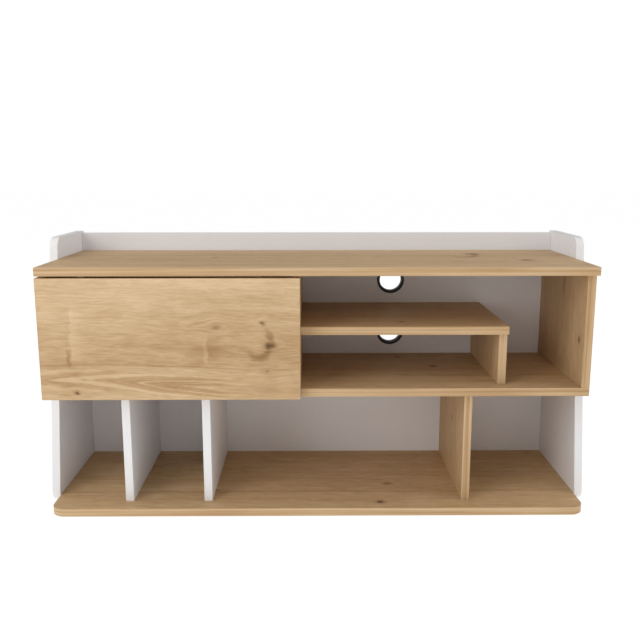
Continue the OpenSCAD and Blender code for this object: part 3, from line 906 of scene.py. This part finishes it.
def cover_profile(radius, length):
    """Thin cap with a shallow dish and a rounded rim."""
    return [
        (0, -0.25),
        (radius * 0.70, -0.25),
        (radius * 0.78, -0.05),
        (radius * 0.90, 0.0),
        (radius * 0.97, -0.12),
        (radius, -0.40),
        (radius, -length),
        (0, -length),
    ]


# Thickness of a glide's pad and radius of its nail, in mm
GLIDE_PAD, GLIDE_NAIL_R = 3.0, 1.1


def glide_profile(radius, length):
    """Rounded pad with a nail that goes up into the board."""
    return [
        (0, 0.0),
        (radius * 0.80, 0.0),
        (radius * 0.90, -0.25),
        (radius * 0.94, -0.70),
        (radius, -GLIDE_PAD + 0.4),
        (radius * 0.98, -GLIDE_PAD),
        (GLIDE_NAIL_R, -GLIDE_PAD),
        (GLIDE_NAIL_R, -length + 2.0),
        (0, -length),
    ]


# Cable outlet in mm: radius of its bore and of the hole it sits in, and thickness of its flange
OUTLET_BORE, OUTLET_HOLE, OUTLET_LIP = 27.0, 30.0, 2.0


def outlet_profile(flange, sleeve):
    """A rounded flange with a fine groove, and a sleeve through the panel."""
    bore, hole, lip = OUTLET_BORE, OUTLET_HOLE, OUTLET_LIP
    return [
        (bore + 0.9, 0.0),
        (hole - 0.6, 0.0),
        (hole - 0.6, -0.35),
        (hole + 0.2, -0.35),
        (hole + 0.2, 0.0),
        (flange - 1.0, 0.0),
        (flange - 0.35, -0.25),
        (flange, -lip * 0.5),
        (flange - 0.35, -lip + 0.25),
        (flange - 1.0, -lip),
        (hole - 0.2, -lip),
        (hole - 0.2, -sleeve + 0.6),
        (hole - 0.8, -sleeve),
        (bore + 0.6, -sleeve),
        (bore, -sleeve + 0.6),
        (bore, -0.9),
        (bore + 0.25, -0.3),
    ]


def cable_outlet(node):
    """Replaces a cable outlet, whose flange looks forward."""
    box = loose_parts(node)[0]
    place, flange = end_of_part(box, FORWARD)
    sleeve = box[1][ALONG_Y] - box[0][ALONG_Y]
    mesh = bmesh.new()
    turned(mesh, outlet_profile(flange / MM, sleeve / MM), facing(place, FORWARD), closed=True)
    hardware_piece(node, mesh)


cross_screws("hinge_arm_screws", DOWN)
cross_screws("hinge_cup_screws", BACKWARD)
cross_screws("stay_bracket_screws", BACKWARD)
turned_parts("door_bumpers", BACKWARD, bumper_profile)
turned_parts("cam_covers", DOWN, cover_profile)
turned_parts("glides", DOWN, glide_profile)
cable_outlet("upper_cable_outlet")
cable_outlet("lower_cable_outlet")

# ---- Hardware: CAD nodes that stay, with softened edges ----

HARDWARE_EASE_STEPS = 2
HARDWARE_SHARP = math.radians(35)
# Width in mm of each node's softened edges
HARDWARE_EASE = {
    "left_hinge_cup": 0.25,
    "right_hinge_cup": 0.25,
    "left_hinge_pin": 0.2,
    "right_hinge_pin": 0.2,
    "left_hinge_arm": 0.3,
    "right_hinge_arm": 0.3,
    "stay_arm": 0.3,
    "stay_bracket": 0.3,
    "stay_rivet": 0.3,
    "stay_stud": 0.3,
    "stay_washers": 0.2,
    "stay_nut": 0.5,
    "back_panel_screws": 0.3,
    "divider_screws": 0.3,
    "box_screws": 0.3,
    "shelf_screws": 0.3,
    "cam_housings": 0.2,
    "cam_bolts": 0.2,
    "dowels": 0.6,
}

for node, ease in HARDWARE_EASE.items():
    part = nodes[node]
    part.data.materials.clear()
    part.data.materials.append(MATERIALS[slot_of_node[node]])
    weld = part.modifiers.new("weld", "WELD")
    weld.merge_threshold = WELD
    bevel = part.modifiers.new("ease", "BEVEL")
    bevel.width = ease * MM
    bevel.segments = HARDWARE_EASE_STEPS
    bevel.limit_method = "ANGLE"
    bevel.angle_limit = HARDWARE_SHARP
    bevel.harden_normals = True
    for face in part.data.polygons:
        face.use_smooth = True

# ---- Floor, camera and light ----

# Sizes in metres, and strengths of the light that each gives off
FLOOR_SIZE = 60.0
FLOOR_GLOW = 0.95
BACKDROP_RADIUS = 28.0
BACKDROP_GLOW = 1.05
WORLD_GLOW = 0.37


def grey(value):
    """A neutral linear colour."""
    return (value, value, value, 1.0)


def stage_object(name, mesh, material):
    """A floor or backdrop from a finished bmesh."""
    data = bpy.data.meshes.new(name)
    mesh.to_mesh(data)
    mesh.free()
    data.materials.append(material)
    item = bpy.data.objects.new(name, data)
    bpy.context.scene.collection.objects.link(item)
    return item


def white_floor():
    """Wide pale floor that glows like a lit white table."""
    mesh = bmesh.new()
    bmesh.ops.create_grid(mesh, x_segments=8, y_segments=8, size=FLOOR_SIZE / 2)
    s = Shader("floor")
    mottle = s.noise(s.rest_place(), scale=3.0, detail=3.0)
    s.finish(
        Base_Color=s.ramp(mottle, [(0.3, grey(0.11)), (0.7, grey(0.13))]),
        Roughness=0.9,
        Specular_IOR_Level=0.0,
        Emission_Color=grey(1.0),
        Emission_Strength=FLOOR_GLOW,
    )
    stage_object("floor", mesh, s.material)


def white_backdrop():
    """White ball round everything, which lights nothing."""
    mesh = bmesh.new()
    bmesh.ops.create_icosphere(mesh, subdivisions=4, radius=BACKDROP_RADIUS)
    s = Shader("backdrop")
    s.finish(
        Base_Color=grey(0.0),
        Specular_IOR_Level=0.0,
        Emission_Color=grey(1.0),
        Emission_Strength=BACKDROP_GLOW,
    )
    ball = stage_object("backdrop", mesh, s.material)
    ball.visible_diffuse = False
    ball.visible_glossy = False
    ball.visible_transmission = False
    ball.visible_volume_scatter = False
    ball.visible_shadow = False


# Camera: its place, how far it looks down and to the right in degrees, and its lens in mm
CAMERA_PLACE = (-0.0099, -1.7662, 0.7437)
CAMERA_DOWN = 10.957
CAMERA_RIGHT = 0.503
CAMERA_LENS = 43.72
SENSOR = 36.0
# Soft lights as (name, place, side of the square in metres, power in watts), all aimed at one point
LIGHT_TARGET = (0.0, 0.0, 0.3)
LIGHTS = [
    ("key", (-2.2, -2.2, 2.4), 2.0, 32.0),
    ("left_front", (-2.6, -3.0, 1.0), 1.6, 21.0),
    ("left_top", (-2.4, 0.2, 2.6), 2.0, 18.0),
    ("right_top", (2.4, -0.5, 2.6), 2.0, 18.0),
    ("right_fill", (3.2, -0.3, 1.4), 2.0, 19.0),
    ("front", (0.0, -3.6, 1.6), 1.6, 5.0),
]


def make_camera():
    """The camera, level from side to side."""
    data = bpy.data.cameras.new("camera")
    data.lens = CAMERA_LENS
    data.sensor_width = SENSOR
    data.clip_start = 0.05
    data.clip_end = 100.0
    camera = bpy.data.objects.new("camera", data)
    camera.location = CAMERA_PLACE
    camera.rotation_euler = (math.radians(90 - CAMERA_DOWN), 0.0, math.radians(-CAMERA_RIGHT))
    bpy.context.scene.collection.objects.link(camera)
    bpy.context.scene.camera = camera


def make_world():
    """Soft even light from all round."""
    world = bpy.data.worlds.new("studio")
    world.use_nodes = True
    background = world.node_tree.nodes["Background"]
    background.inputs["Color"].default_value = grey(1.0)
    background.inputs["Strength"].default_value = WORLD_GLOW
    bpy.context.scene.world = world


def area_light(name, place, size, power):
    """Square soft light at place, turned towards the stand."""
    data = bpy.data.lights.new(name, "AREA")
    data.shape = "SQUARE"
    data.size = size
    data.energy = power
    light = bpy.data.objects.new(name, data)
    light.location = place
    light.rotation_euler = (Vector(LIGHT_TARGET) - Vector(place)).to_track_quat("-Z", "Y").to_euler()
    bpy.context.scene.collection.objects.link(light)


white_floor()
make_camera()
white_backdrop()
make_world()
for light in LIGHTS:
    area_light(*light)
bpy.context.scene.view_settings.view_transform = "Standard"
